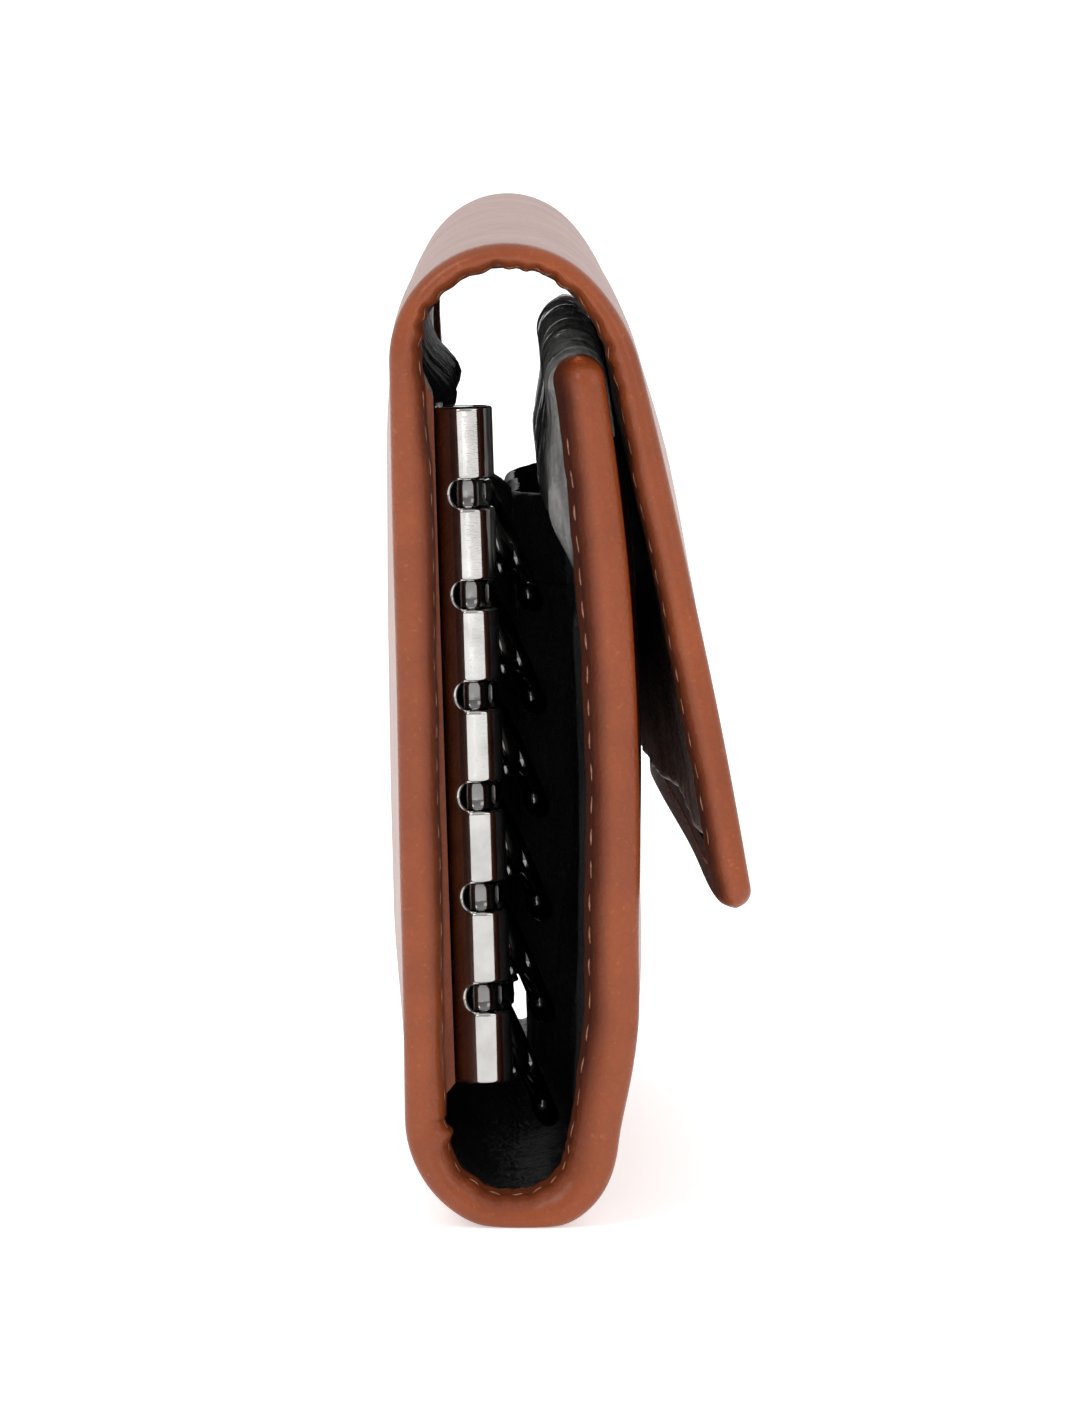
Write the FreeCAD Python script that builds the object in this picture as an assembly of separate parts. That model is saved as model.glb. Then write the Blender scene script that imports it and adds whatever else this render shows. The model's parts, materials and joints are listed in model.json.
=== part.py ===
"""Three-fold leather key case with a six-hook key rail, standing on its bottom fold.

Millimetres. +X runs from the back panel towards the flap, +Y along the folds, away from the end that
shows the rail's roll, and +Z up. The origin is the middle of the flat on which the bottom fold stands.
"""
import FreeCAD, Part
import math
import os

Vector = FreeCAD.Vector

# The wrap: one long strip of leather, seen from its near end as a chain of tangent runs
case_length = 112.0
hem_width = 5.0
rest_flat_depth = 0.5
bottom_back_radius = 8.0
bottom_front_radius = 6.9
bottom_front_angle = 84.2
back_lean_angle = 1.2
back_height = 51.3
top_radius = 8.0
top_slope_angle = 45.0
shoulder_radius = 13.0
shoulder_angle = 31.2
flap_length = 36.0
flap_bow_radius = 570.0
front_rise = 0.2
front_bow_radius = 206.0

# Layers of the wrap, each measured across the sheet
leather_thickness = 1.2
stiffener_thickness = 0.7
back_thickness = 2.8
front_thickness = 3.4
flap_thickness = 2.4
top_fold_thickness = 1.8
bottom_fold_thickness = 2.0
glue_line = 0.04
fit_gap = 0.2
edge_round_share = 0.32

# Slip pocket on the inner side of the front panel
pocket_thickness = 0.7
pocket_low_share = 0.30
pocket_high_share = 0.86

# Magnets that hold the flap down, hidden between leather and lining
magnet_radius = 5.0
magnet_thickness = 0.5
magnet_gap = 0.1
magnet_spacing = 56.0
magnet_up_flap_share = 0.62
magnet_up_front_share = 0.46

# Key rail: a plate with one edge rolled round the axle
hook_count = 6
rail_low_gap = 1.85
rail_high_gap = 3.26
rail_seat_gap = 0.45
rail_tilt_angle = 0.6
slot_width = 1.98
roll_radius = 1.95
rail_sheet = 0.5
rail_depth = 8.0
rail_corner = 1.0
rail_recess = 7.0
axle_radius = 0.8
running_gap = 0.05
rivet_head_radius = 1.5
rivet_head_height = 0.5
rivet_shank_radius = 0.8
rivet_foot_radius = 1.6
rivet_back = 4.5

# Link: the stirrup that turns on the axle and holds the hook's ball
link_width = 1.7
link_radius = 1.3
link_length = 4.2
link_wall = 0.4
link_bore_gap = 0.1
link_end_plate = 0.3
ball_radius = 0.8
ball_hole_radius = 0.72
ball_slack = 0.1

# Hook: a wire loop with a sprung gate, hung in the link by its ball
shank_radius = 0.35
collar_start = 1.9
collar_radius = 0.9
collar_length = 0.8
wire_radius = 0.8
loop_radius = 4.0
loop_straight = 13.5
nose_length = 3.5
fork_radius = 1.0
fork_width = 1.7
fork_angle = 100.0
gate_thickness = 0.6
gate_width = 0.9
gate_slot_gap = 0.1
gate_eye_radius = 0.75
gate_pin_radius = 0.35
gate_overlap = 1.0
gate_rest_gap = 0.25

# How the hooks lie at rest, in degrees: out from the back panel, down, and rolled about their length
hook_swing_angle = 7.0
first_droop_angle = 15.0
droop_step_angle = 1.0
hook_roll_angle = 67.0

overrun = 1.0
match_share = 1e-5

half_length = case_length / 2
front_height = back_height + front_rise
well_half = half_length - hem_width
full_span = (-half_length, half_length)
axle_y = rail_recess - half_length
rail_length = back_height - rail_low_gap - rail_high_gap
knuckle_length = (rail_length - hook_count * slot_width) / (hook_count + 1)
rail_up_share = (rail_low_gap + rail_length / 2) / back_height
hook_pitch = knuckle_length + slot_width
link_bore_radius = axle_radius + link_bore_gap

os.makedirs("parts", exist_ok=True)


def flat(angle):
    """Unit vector in the XZ plane at an angle in degrees from +X towards +Z."""
    turn = math.radians(angle)
    return Vector(math.cos(turn), 0, math.sin(turn))


class Run:
    """One run of the wrap's outer line: straight, or an arc that bends towards the inside.

    side is +1 where the inside of the case lies left of the heading, and -1 where it lies right of it.
    """

    def __init__(self, start, heading, side, length, radius=None):
        self.start = start
        self.heading = heading
        self.side = side
        self.length = length
        self.radius = radius
        self.turn = math.degrees(length / radius) if radius else 0

    def ahead(self, share):
        return flat(self.heading + self.side * self.turn * share)

    def inward(self, share):
        along = self.ahead(share)
        return Vector(-along.z, 0, along.x) * self.side

    def at(self, share, depth):
        """Point at a share of the run's length and at a depth below its outer line."""
        if self.radius is None:
            return self.start + self.ahead(0) * (self.length * share) + self.inward(0) * depth
        centre = self.start + self.inward(0) * self.radius
        return centre - self.inward(share) * (self.radius - depth)

    def edge(self, first, last, depth):
        if self.radius is None:
            return Part.LineSegment(self.at(first, depth), self.at(last, depth)).toShape()
        middle = self.at((first + last) / 2, depth)
        return Part.Arc(self.at(first, depth), middle, self.at(last, depth)).toShape()

    def follow(self, length, radius=None):
        """The next run, tangent to the end of this one."""
        heading = self.heading + self.side * self.turn
        return Run(self.at(1, 0), heading, self.side, length, radius)


def arc_length(radius, angle):
    return radius * math.radians(angle)


lowest = Vector(0, 0, -rest_flat_depth)
bottom_back_length = arc_length(bottom_back_radius, 90 - back_lean_angle)
bottom_back = Run(lowest, 180, -1, bottom_back_length, bottom_back_radius)
back = bottom_back.follow(back_height)
top_arch_length = arc_length(top_radius, 90 + back_lean_angle + top_slope_angle)
top_arch = back.follow(top_arch_length, top_radius)
shoulder = top_arch.follow(arc_length(shoulder_radius, shoulder_angle), shoulder_radius)
flap = shoulder.follow(flap_length, flap_bow_radius)
bottom_front_length = arc_length(bottom_front_radius, bottom_front_angle)
bottom_front = Run(lowest, 0, 1, bottom_front_length, bottom_front_radius)
front = bottom_front.follow(front_height, front_bow_radius)


def profile(runs, depths, start_share=0, end_share=1, round_end=False):
    """Closed outline between two depths along a chain of runs."""
    outer_edges = []
    inner_edges = []
    for index, run in enumerate(runs):
        first = start_share if index == 0 else 0
        last = end_share if index == len(runs) - 1 else 1
        outer_edges.append(run.edge(first, last, depths[0]))
        inner_edges.insert(0, run.edge(last, first, depths[1]))
    tail = runs[-1]
    outer_end = tail.at(end_share, depths[0])
    inner_end = tail.at(end_share, depths[1])
    end_edge = Part.LineSegment(outer_end, inner_end).toShape()
    if round_end:
        half = (depths[1] - depths[0]) / 2
        tip = tail.at(end_share, depths[0] + half) + tail.ahead(end_share) * half
        end_edge = Part.Arc(outer_end, tip, inner_end).toShape()
    head = runs[0]
    inner_start = head.at(start_share, depths[1])
    outer_start = head.at(start_share, depths[0])
    start_edge = Part.LineSegment(inner_start, outer_start).toShape()
    return Part.Wire(outer_edges + [end_edge] + inner_edges + [start_edge])


def strip(runs, depths, y_span, start_share=0, end_share=1, round_end=False):
    """Solid of the wrap between two depths, from one Y to another."""
    face = Part.Face(profile(runs, depths, start_share, end_share, round_end))
    solid = face.extrude(Vector(0, y_span[1] - y_span[0], 0))
    solid.translate(Vector(0, y_span[0], 0))
    return solid


def two_way_strip(depths, y_span):
    """The bottom fold's solid, which runs from the front panel under the case to the back panel."""
    rear = strip([bottom_back], depths, y_span)
    fore = strip([bottom_front], depths, y_span)
    return rear.fuse(fore).removeSplitter()


def round_ends(solid, thickness):
    """Round the long edges at both ends of the case, where the leather is turned over."""
    reach = case_length * match_share
    chosen = []
    for edge in solid.Edges:
        box = edge.BoundBox
        at_end = box.YLength < reach and abs(abs(box.YMin) - half_length) < reach
        butt = edge.Length < thickness * (1 + match_share)
        if at_end and not butt:
            chosen.append(edge)
    return solid.makeFillet(thickness * edge_round_share, chosen)


def cylinder(radius, start, end):
    way = end - start
    return Part.makeCylinder(radius, way.Length, start, way)


def box(low, high):
    size = high - low
    return Part.makeBox(size.x, size.y, size.z, low)


def placed(shape, origin, x_axis, y_axis):
    """Copy of a shape whose own X and Y axes turn to the two given ones, with its origin moved."""
    rotation = FreeCAD.Rotation(x_axis, y_axis, x_axis.cross(y_axis), "XYZ")
    copy = shape.copy()
    copy.Placement = FreeCAD.Placement(origin, rotation).multiply(shape.Placement)
    return copy


def save(name, shape):
    solids = shape.Solids
    if not shape.isValid() or not solids:
        raise ValueError(name + " is not a sound solid")
    result = solids[0] if len(solids) == 1 else Part.makeCompound(solids)
    result.exportStep("parts/" + name + ".step")
    centre = result.CenterOfGravity if len(solids) == 1 else solids[0].CenterOfGravity
    print(name, len(solids), "solids,", round(shape.Volume, 2), "mm3, centre", [round(v, 2) for v in centre])


def end_share_of_hem(run):
    return 1 - hem_width / run.length


# Layers of a stiff panel
def panel_layers(run, thickness, free_end):
    """Leather tray with turned hems, and the board and lining that fill it.

    A free end is rounded and hemmed too. The other end meets a fold.
    """
    inner_limit = end_share_of_hem(run) if free_end else 1
    shell = round_ends(strip([run], (0, thickness), full_span, round_end=free_end), thickness)
    open_share = overrun / run.length
    well_end = inner_limit if free_end else 1 + open_share
    well_depths = (leather_thickness, thickness + overrun)
    well = strip([run], well_depths, (-well_half, well_half), -open_share, well_end)
    layer_end = inner_limit - fit_gap / run.length if free_end else 1
    fill_span = (fit_gap - well_half, well_half - fit_gap)
    board_top = leather_thickness + stiffener_thickness
    board = strip([run], (leather_thickness + glue_line, board_top), fill_span, 0, layer_end)
    lining = strip([run], (board_top + glue_line, thickness), fill_span, 0, layer_end)
    return shell.cut(well), board, lining


def fold_layers(solid_of, thickness):
    """Leather and lining of a soft fold; solid_of makes its solid from two depths and a Y span."""
    shell = round_ends(solid_of((0, thickness), full_span), thickness)
    well = solid_of((leather_thickness, thickness + overrun), (-well_half, well_half))
    fill_half = well_half - fit_gap
    lining = solid_of((leather_thickness + glue_line, thickness), (-fill_half, fill_half))
    return shell.cut(well), lining


def top_fold_solid(depths, y_span):
    return strip([top_arch, shoulder], depths, y_span)


def magnet_discs(run, up_share, radius, depths):
    """Two discs on a panel, side by side along Y, between two depths below its outer line."""
    discs = []
    for side in (-1, 1):
        seat = Vector(0, side * magnet_spacing / 2, 0)
        outer_end = run.at(up_share, depths[0]) + seat
        inner_end = run.at(up_share, depths[1]) + seat
        discs.append(cylinder(radius, outer_end, inner_end))
    return Part.makeCompound(discs)


def magnets(run, up_share):
    top = leather_thickness + magnet_gap
    return magnet_discs(run, up_share, magnet_radius, (top, top + magnet_thickness))


def magnet_holes(run, up_share):
    """Holes right through the board, in which the magnets lie."""
    return magnet_discs(run, up_share, magnet_radius + running_gap, (0, leather_thickness + overrun))


# Rail: own axes are X along the depth of the plate, Y towards the back panel and Z up the rail
rail_base = back.at(rail_up_share, back_thickness + rail_seat_gap)
rail_base.y = axle_y
rail_heading = 90 + back_lean_angle + rail_tilt_angle
rail_out = flat(rail_heading - 90)
rail_way = flat(rail_heading)
deep = Vector(0, 1, 0)
axle_middle = rail_base + rail_out * roll_radius


def on_rail(shape):
    return placed(shape, rail_base, deep, rail_out * -1)


def slot_height(index):
    """Height of a hook's slot on the rail, counted from the top one."""
    return ((hook_count - 1) / 2 - index) * hook_pitch


def rivet_heights():
    return [side * (hook_count / 2 - 1) * hook_pitch for side in (-1, 1)]


def rivet_seat(height):
    """How far the back panel's inner face lies behind the plate, at a height on the rail."""
    return rail_seat_gap - height * math.tan(math.radians(rail_tilt_angle))


def rail_plate():
    half = rail_length / 2
    centre_low = Vector(0, -roll_radius, -half)
    centre_high = Vector(0, -roll_radius, half)
    plate = box(Vector(0, -rail_sheet, -half), Vector(rail_depth, 0, half))
    corners = []
    for edge in plate.Edges:
        at_back = edge.BoundBox.XMin > rail_depth * (1 - match_share)
        if at_back and edge.BoundBox.YLength > rail_sheet * (1 - match_share):
            corners.append(edge)
    plate = plate.makeFillet(rail_corner, corners)
    body = plate.fuse(cylinder(roll_radius, centre_low, centre_high))
    body = body.cut(cylinder(axle_radius + running_gap, centre_low, centre_high))
    reach = roll_radius + overrun
    for index in range(hook_count):
        low = Vector(-reach, -roll_radius - reach, slot_height(index) - slot_width / 2)
        high = Vector(reach, -rail_sheet, slot_height(index) + slot_width / 2)
        body = body.cut(box(low, high))
    for height in rivet_heights():
        before = Vector(rivet_back, -rail_sheet - overrun, height)
        behind = Vector(rivet_back, overrun, height)
        body = body.cut(cylinder(rivet_shank_radius + running_gap, before, behind))
    return on_rail(body)


def rail_axle():
    half = rail_length / 2
    return on_rail(cylinder(axle_radius, Vector(0, -roll_radius, -half), Vector(0, -roll_radius, half)))


def rivet_bore(radius, near_depth, far_depth):
    """Cylinders on the rivet axes, between two depths below the back panel's inner face."""
    made = []
    for height in rivet_heights():
        near = Vector(rivet_back, near_depth, height)
        far = Vector(rivet_back, rivet_seat(height) + far_depth, height)
        made.append(cylinder(radius, near, far))
    return on_rail(Part.makeCompound(made))


def rail_rivets():
    foot_near = back_thickness - leather_thickness - stiffener_thickness + glue_line
    foot_far = back_thickness - leather_thickness - glue_line
    made = []
    for height in rivet_heights():
        seat = Vector(rivet_back, -rail_sheet, height)
        head = cylinder(rivet_head_radius, seat, seat - Vector(0, rivet_head_height, 0))
        crown_limit = seat.y - rivet_head_height / 2
        crown = [edge for edge in head.Edges if edge.BoundBox.YMax < crown_limit]
        head = head.makeFillet(rivet_head_height * (1 - edge_round_share), crown)
        foot_start = Vector(rivet_back, rivet_seat(height) + foot_near, height)
        foot_end = Vector(rivet_back, rivet_seat(height) + foot_far, height)
        shank = cylinder(rivet_shank_radius, seat, foot_end)
        foot = cylinder(rivet_foot_radius, foot_start, foot_end)
        made.append(head.fuse([shank, foot]).removeSplitter())
    return on_rail(Part.makeCompound(made))


# Link and hook, drawn along their own X
ball_sink = math.sqrt(ball_radius ** 2 - ball_hole_radius ** 2)
ball_place = link_length - link_end_plate - ball_sink - ball_slack


def link_shape():
    half = link_width / 2
    round_high = Vector(0, link_radius, -half)
    round_low = Vector(0, -link_radius, -half)
    end_low = Vector(link_length, -link_radius, -half)
    end_high = Vector(link_length, link_radius, -half)
    outline = Part.Wire([
        Part.Arc(round_high, Vector(-link_radius, 0, -half), round_low).toShape(),
        Part.LineSegment(round_low, end_low).toShape(),
        Part.LineSegment(end_low, end_high).toShape(),
        Part.LineSegment(end_high, round_high).toShape(),
    ])
    body = Part.Face(outline).extrude(Vector(0, 0, link_width))
    bore = cylinder(link_bore_radius, Vector(0, 0, -link_width), Vector(0, 0, link_width))
    inner = link_radius - link_wall
    window_low = Vector(link_radius, -inner, -link_width)
    window_high = Vector(link_length - link_end_plate, inner, link_width)
    window = box(window_low, window_high)
    hole = cylinder(ball_hole_radius, Vector(link_radius, 0, 0), Vector(link_length + overrun, 0, 0))
    return body.cut([bore, window, hole])


base_centre = collar_start + collar_length + wire_radius + loop_radius - wire_radius / 4
far_centre = base_centre + loop_straight
fork_turn = math.radians(fork_angle)
fork_way = Vector(math.cos(fork_turn), math.sin(fork_turn), 0)
fork_place = Vector(base_centre, 0, 0) + fork_way * loop_radius
nose_start = far_centre - nose_length
gate_tip_side = loop_radius - wire_radius - gate_rest_gap - gate_width / 2
gate_tip = Vector(nose_start + gate_overlap, gate_tip_side, 0)


def loop_wire():
    """Bent wire from the nose round the far end and back round the base to the fork."""
    nose = Vector(nose_start, loop_radius, 0)
    far_near = Vector(far_centre, loop_radius, 0)
    far_tip = Vector(far_centre + loop_radius, 0, 0)
    far_back = Vector(far_centre, -loop_radius, 0)
    base_back = Vector(base_centre, -loop_radius, 0)
    base_tip = Vector(base_centre - loop_radius, 0, 0)
    path = Part.Wire([
        Part.LineSegment(nose, far_near).toShape(),
        Part.Arc(far_near, far_tip, far_back).toShape(),
        Part.LineSegment(far_back, base_back).toShape(),
        Part.Arc(base_back, base_tip, fork_place).toShape(),
    ])
    section = Part.Wire([Part.Circle(nose, Vector(1, 0, 0), wire_radius).toShape()])
    bent = path.makePipeShell([section], True, True)
    return bent.fuse(Part.makeSphere(wire_radius, nose))


def hook_shape():
    ball = Part.makeSphere(ball_radius)
    collar_end = collar_start + collar_length
    shank = cylinder(shank_radius, Vector(0, 0, 0), Vector(collar_end, 0, 0))
    collar = cylinder(collar_radius, Vector(collar_start, 0, 0), Vector(collar_end, 0, 0))
    half_fork = Vector(0, 0, fork_width / 2)
    fork = cylinder(fork_radius, fork_place - half_fork, fork_place + half_fork)
    body = loop_wire().fuse([ball, shank, collar, fork])
    half_slot = gate_thickness / 2 + gate_slot_gap
    reach = Vector(gate_eye_radius + gate_slot_gap, fork_radius + overrun, half_slot)
    ahead = Vector(fork_radius + overrun, fork_radius + overrun, half_slot)
    slot = box(fork_place - reach, fork_place + ahead)
    bore_radius = gate_pin_radius + running_gap
    bore = cylinder(bore_radius, fork_place - half_fork * 2, fork_place + half_fork * 2)
    return body.cut([slot, bore])


def gate_shape():
    half = Vector(0, 0, gate_thickness / 2)
    eye = cylinder(gate_eye_radius, fork_place - half, fork_place + half)
    way = gate_tip - fork_place
    across = Vector(-way.y, way.x, 0)
    across.normalize()
    across = across * (gate_width / 2)
    corners = [fork_place - across, gate_tip - across, gate_tip + across, fork_place + across]
    outline = Part.makePolygon([corner - half for corner in corners + corners[:1]])
    bar = Part.Face(outline).extrude(half * 2)
    tip = cylinder(gate_width / 2, gate_tip - half, gate_tip + half)
    half_pin = Vector(0, 0, fork_width / 2)
    pin = cylinder(gate_pin_radius, fork_place - half_pin, fork_place + half_pin)
    return bar.fuse([eye, tip, pin]).removeSplitter()


def hook_axes(index):
    """Directions of a hook at rest: its link, its length, the width of its loop, and its ball's centre."""
    swing = math.radians(hook_swing_angle)
    droop = math.radians(first_droop_angle + droop_step_angle * index)
    roll = math.radians(hook_roll_angle)
    along_link = deep * math.cos(swing) + rail_out * math.sin(swing)
    outward = rail_out * math.cos(swing) - deep * math.sin(swing)
    along = along_link * math.cos(droop) - rail_way * math.sin(droop)
    upward = along_link * math.sin(droop) + rail_way * math.cos(droop)
    width = outward * math.cos(roll) - upward * math.sin(roll)
    ball = axle_middle + rail_way * slot_height(index) + along_link * ball_place
    return along_link, outward, along, width, ball


def save_hooks():
    link = link_shape()
    hook = hook_shape()
    gate = gate_shape()
    for index in range(hook_count):
        along_link, outward, along, width, ball = hook_axes(index)
        name = "hook_" + str(index + 1)
        pivot = axle_middle + rail_way * slot_height(index)
        save(name + "_link", placed(link, pivot, along_link, outward * -1))
        save(name + "_loop", placed(hook, ball, along, width))
        save(name + "_gate", placed(gate, ball, along, width))
        normal = along.cross(width)
        hinge = ball + along * fork_place.x + width * fork_place.y
        print(name, "pivot", pivot, "ball", ball, "along", along, "gate hinge", hinge,
              "gate axis", normal * -1)


# The wrap's pieces
back_leather, back_board, back_lining = panel_layers(back, back_thickness, False)
seat_depth = back_thickness - leather_thickness
shank_seat = rivet_bore(rivet_shank_radius + running_gap, -overrun, seat_depth)
foot_seat = rivet_bore(rivet_foot_radius + running_gap, -overrun, seat_depth)
save("back_panel_leather", back_leather)
save("back_panel_board", back_board.cut(foot_seat))
save("back_panel_lining", back_lining.cut(shank_seat))

front_leather, front_board, front_lining = panel_layers(front, front_thickness, True)
save("front_panel_leather", front_leather)
save("front_panel_board", front_board.cut(magnet_holes(front, magnet_up_front_share)))
save("front_panel_lining", front_lining)
save("front_panel_magnets", magnets(front, magnet_up_front_share))
pocket_seat = front_thickness + glue_line
pocket_depths = (pocket_seat, pocket_seat + pocket_thickness)
pocket_span = (fit_gap - well_half, well_half - fit_gap)
pocket = strip([front], pocket_depths, pocket_span, pocket_low_share, pocket_high_share)
save("front_slip_pocket", pocket)

flap_leather, flap_board, flap_lining = panel_layers(flap, flap_thickness, True)
save("flap_leather", flap_leather)
save("flap_board", flap_board.cut(magnet_holes(flap, magnet_up_flap_share)))
save("flap_lining", flap_lining)
save("flap_magnets", magnets(flap, magnet_up_flap_share))

top_leather, top_lining = fold_layers(top_fold_solid, top_fold_thickness)
save("top_fold_leather", top_leather)
save("top_fold_lining", top_lining)

bottom_leather, bottom_lining = fold_layers(two_way_strip, bottom_fold_thickness)
below = box(Vector(-case_length, -case_length, -case_length), Vector(case_length, case_length, 0))
save("bottom_fold_leather", bottom_leather.cut(below))
save("bottom_fold_lining", bottom_lining)

# The rail's pieces
save("rail_plate", rail_plate())
save("rail_axle", rail_axle())
save("rail_rivets", rail_rivets())
save_hooks()

print("bottom fold ends", bottom_back.at(1, 0), bottom_front.at(1, 0))
print("top fold starts", top_arch.at(0, 0), "and ends", shoulder.at(1, 0))
print("flap ends", flap.at(1, 0), "front ends", front.at(1, 0))
print("rail axle middle", axle_middle, "rail way", rail_way)
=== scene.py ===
# %% [markdown]
# A folding key case of tan leather, with a black lining and a plated rail of six snap hooks, stands on its
# bottom fold and is seen along its folds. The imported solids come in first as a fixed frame. Every piece made
# below takes its place from them, in the same axes and in metres, so nothing has to be fitted afterwards.

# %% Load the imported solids
import json
import math

import bmesh
import bpy
import numpy as np
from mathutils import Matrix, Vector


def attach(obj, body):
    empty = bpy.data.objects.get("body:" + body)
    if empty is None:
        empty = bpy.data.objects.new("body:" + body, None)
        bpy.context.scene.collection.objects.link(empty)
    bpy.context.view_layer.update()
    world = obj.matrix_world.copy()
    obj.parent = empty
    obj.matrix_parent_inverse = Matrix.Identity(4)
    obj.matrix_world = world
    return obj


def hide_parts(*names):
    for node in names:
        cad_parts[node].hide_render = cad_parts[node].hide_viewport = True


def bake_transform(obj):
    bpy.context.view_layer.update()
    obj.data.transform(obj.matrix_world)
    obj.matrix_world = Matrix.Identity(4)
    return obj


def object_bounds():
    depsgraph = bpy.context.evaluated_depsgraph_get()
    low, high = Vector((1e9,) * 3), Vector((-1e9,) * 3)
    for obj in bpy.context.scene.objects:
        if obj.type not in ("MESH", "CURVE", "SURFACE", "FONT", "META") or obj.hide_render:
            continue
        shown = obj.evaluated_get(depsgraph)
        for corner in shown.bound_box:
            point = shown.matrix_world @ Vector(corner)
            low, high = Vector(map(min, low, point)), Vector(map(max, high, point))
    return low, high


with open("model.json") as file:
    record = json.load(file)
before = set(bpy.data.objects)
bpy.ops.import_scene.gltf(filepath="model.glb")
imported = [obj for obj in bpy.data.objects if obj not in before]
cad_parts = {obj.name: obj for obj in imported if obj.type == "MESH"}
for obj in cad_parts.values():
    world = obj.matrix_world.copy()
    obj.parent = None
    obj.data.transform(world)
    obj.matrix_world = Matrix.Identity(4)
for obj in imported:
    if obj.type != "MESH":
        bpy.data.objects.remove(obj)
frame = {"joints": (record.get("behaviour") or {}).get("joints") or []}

cad_low, cad_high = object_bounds()
joints = {joint["name"]: joint for joint in frame["joints"]}
mm = 0.001

# %% [markdown]
# The camera stands far away with a long lens, a little above the case, so that lines along the folds meet
# high above the picture. Four measured things fix it: the scale at the near end, the focal length in pixels,
# where the near end's foot shows, and the point where the fold lines meet. Solving for the place once is
# simpler than nudging a camera by eye, and it stays right if a size changes.

# %% Camera
image_width, image_height = 1068, 1424
near_end = -56.0
pixels_per_mm = 14.8
focal_pixels = 12180.0
foot_pixel = np.array([523.0, 1232.0])
meeting_pixel = np.array([505.0, -178.0])
sensor = 36.0

middle_pixel = np.array([image_width / 2, image_height / 2])
turn_right, tilt_down = np.arctan2(middle_pixel - meeting_pixel, focal_pixels)
aim_shift = (middle_pixel - foot_pixel) / pixels_per_mm
aim = np.array([aim_shift[0], near_end, -aim_shift[1]])
ahead = np.array([math.sin(turn_right) * math.cos(tilt_down), math.cos(turn_right) * math.cos(tilt_down),
                  -math.sin(tilt_down)])
eye = aim - ahead * (focal_pixels / pixels_per_mm)

camera = bpy.data.objects.new("camera", bpy.data.cameras.new("camera"))
camera.data.lens = sensor * focal_pixels / image_height
camera.data.sensor_width = sensor
camera.data.clip_start, camera.data.clip_end = 0.05, 100.0
camera.location = eye * mm
camera.rotation_euler = (math.pi / 2 - tilt_down, 0, -turn_right)
bpy.context.scene.collection.objects.link(camera)
bpy.context.scene.camera = camera
bpy.context.scene.view_settings.view_transform = "Standard"
print("camera at", (eye * mm).round(4), "lens", round(camera.data.lens, 1))

# %% [markdown]
# Shader maths reads best as sums. This class wraps one output of a node: plus, minus and times add Math
# nodes, and make() adds a node of any other kind, with its settings first and then its values and links.


# %% Shader sums
class Tone:
    """One output of a shader node in a tree."""

    def __init__(self, tree, socket=None):
        self.tree = tree
        self.socket = socket

    def make(self, kind, settings, inputs, output=0):
        node = self.tree.nodes.new(kind)
        for key, value in settings.items():
            setattr(node, key, value)
        for key, value in inputs.items():
            if isinstance(value, Tone):
                self.tree.links.new(value.socket, node.inputs[key])
            else:
                node.inputs[key].default_value = value
        return Tone(self.tree, node.outputs[output] if len(node.outputs) else None)

    def maths(self, operation, first, second):
        return self.make("ShaderNodeMath", {"operation": operation}, {0: first, 1: second})

    def __add__(self, other):
        return self.maths("ADD", self, other)

    def __sub__(self, other):
        return self.maths("SUBTRACT", self, other)

    def __rsub__(self, other):
        return self.maths("SUBTRACT", other, self)

    def __mul__(self, other):
        return self.maths("MULTIPLY", self, other)

    def clip(self, low, high):
        """Zero below low, one above high, and a straight ramp between."""
        return self.make("ShaderNodeMapRange", {"clamp": True}, {0: self, 1: low, 2: high, 3: 0.0, 4: 1.0})

    def mix(self, factor, first, second):
        return self.make("ShaderNodeMix", {"data_type": "RGBA"}, {0: factor, 6: first, 7: second}, 2)

    def noise(self, place, scale, detail=3.0, stretch=None):
        """Cloudy noise of so many features a metre; stretch scales that number along each axis."""
        if stretch is not None:
            place = self.make("ShaderNodeMapping", {}, {"Vector": place, "Scale": stretch})
        return self.make("ShaderNodeTexNoise", {}, {"Vector": place, "Scale": scale, "Detail": detail})

    def cells(self, place, scale, feature="DISTANCE_TO_EDGE"):
        return self.make("ShaderNodeTexVoronoi", {"feature": feature}, {"Vector": place, "Scale": scale})

    def bump(self, height, distance, strength):
        return self.make("ShaderNodeBump", {}, {"Height": height, "Distance": distance, "Strength": strength})


def begin_finish(name):
    """An empty material, and the object coordinates that its patterns read."""
    material = bpy.data.materials.new(name)
    material.use_nodes = True
    material.node_tree.nodes.clear()
    start = Tone(material.node_tree)
    return material, start, start.make("ShaderNodeTexCoord", {}, {}, 3)


def end_finish(start, sockets):
    """The one shader of a material, with its values and links."""
    shader = start.make("ShaderNodeBsdfPrincipled", {}, sockets)
    start.make("ShaderNodeOutputMaterial", {}, {"Surface": shader})
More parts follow.
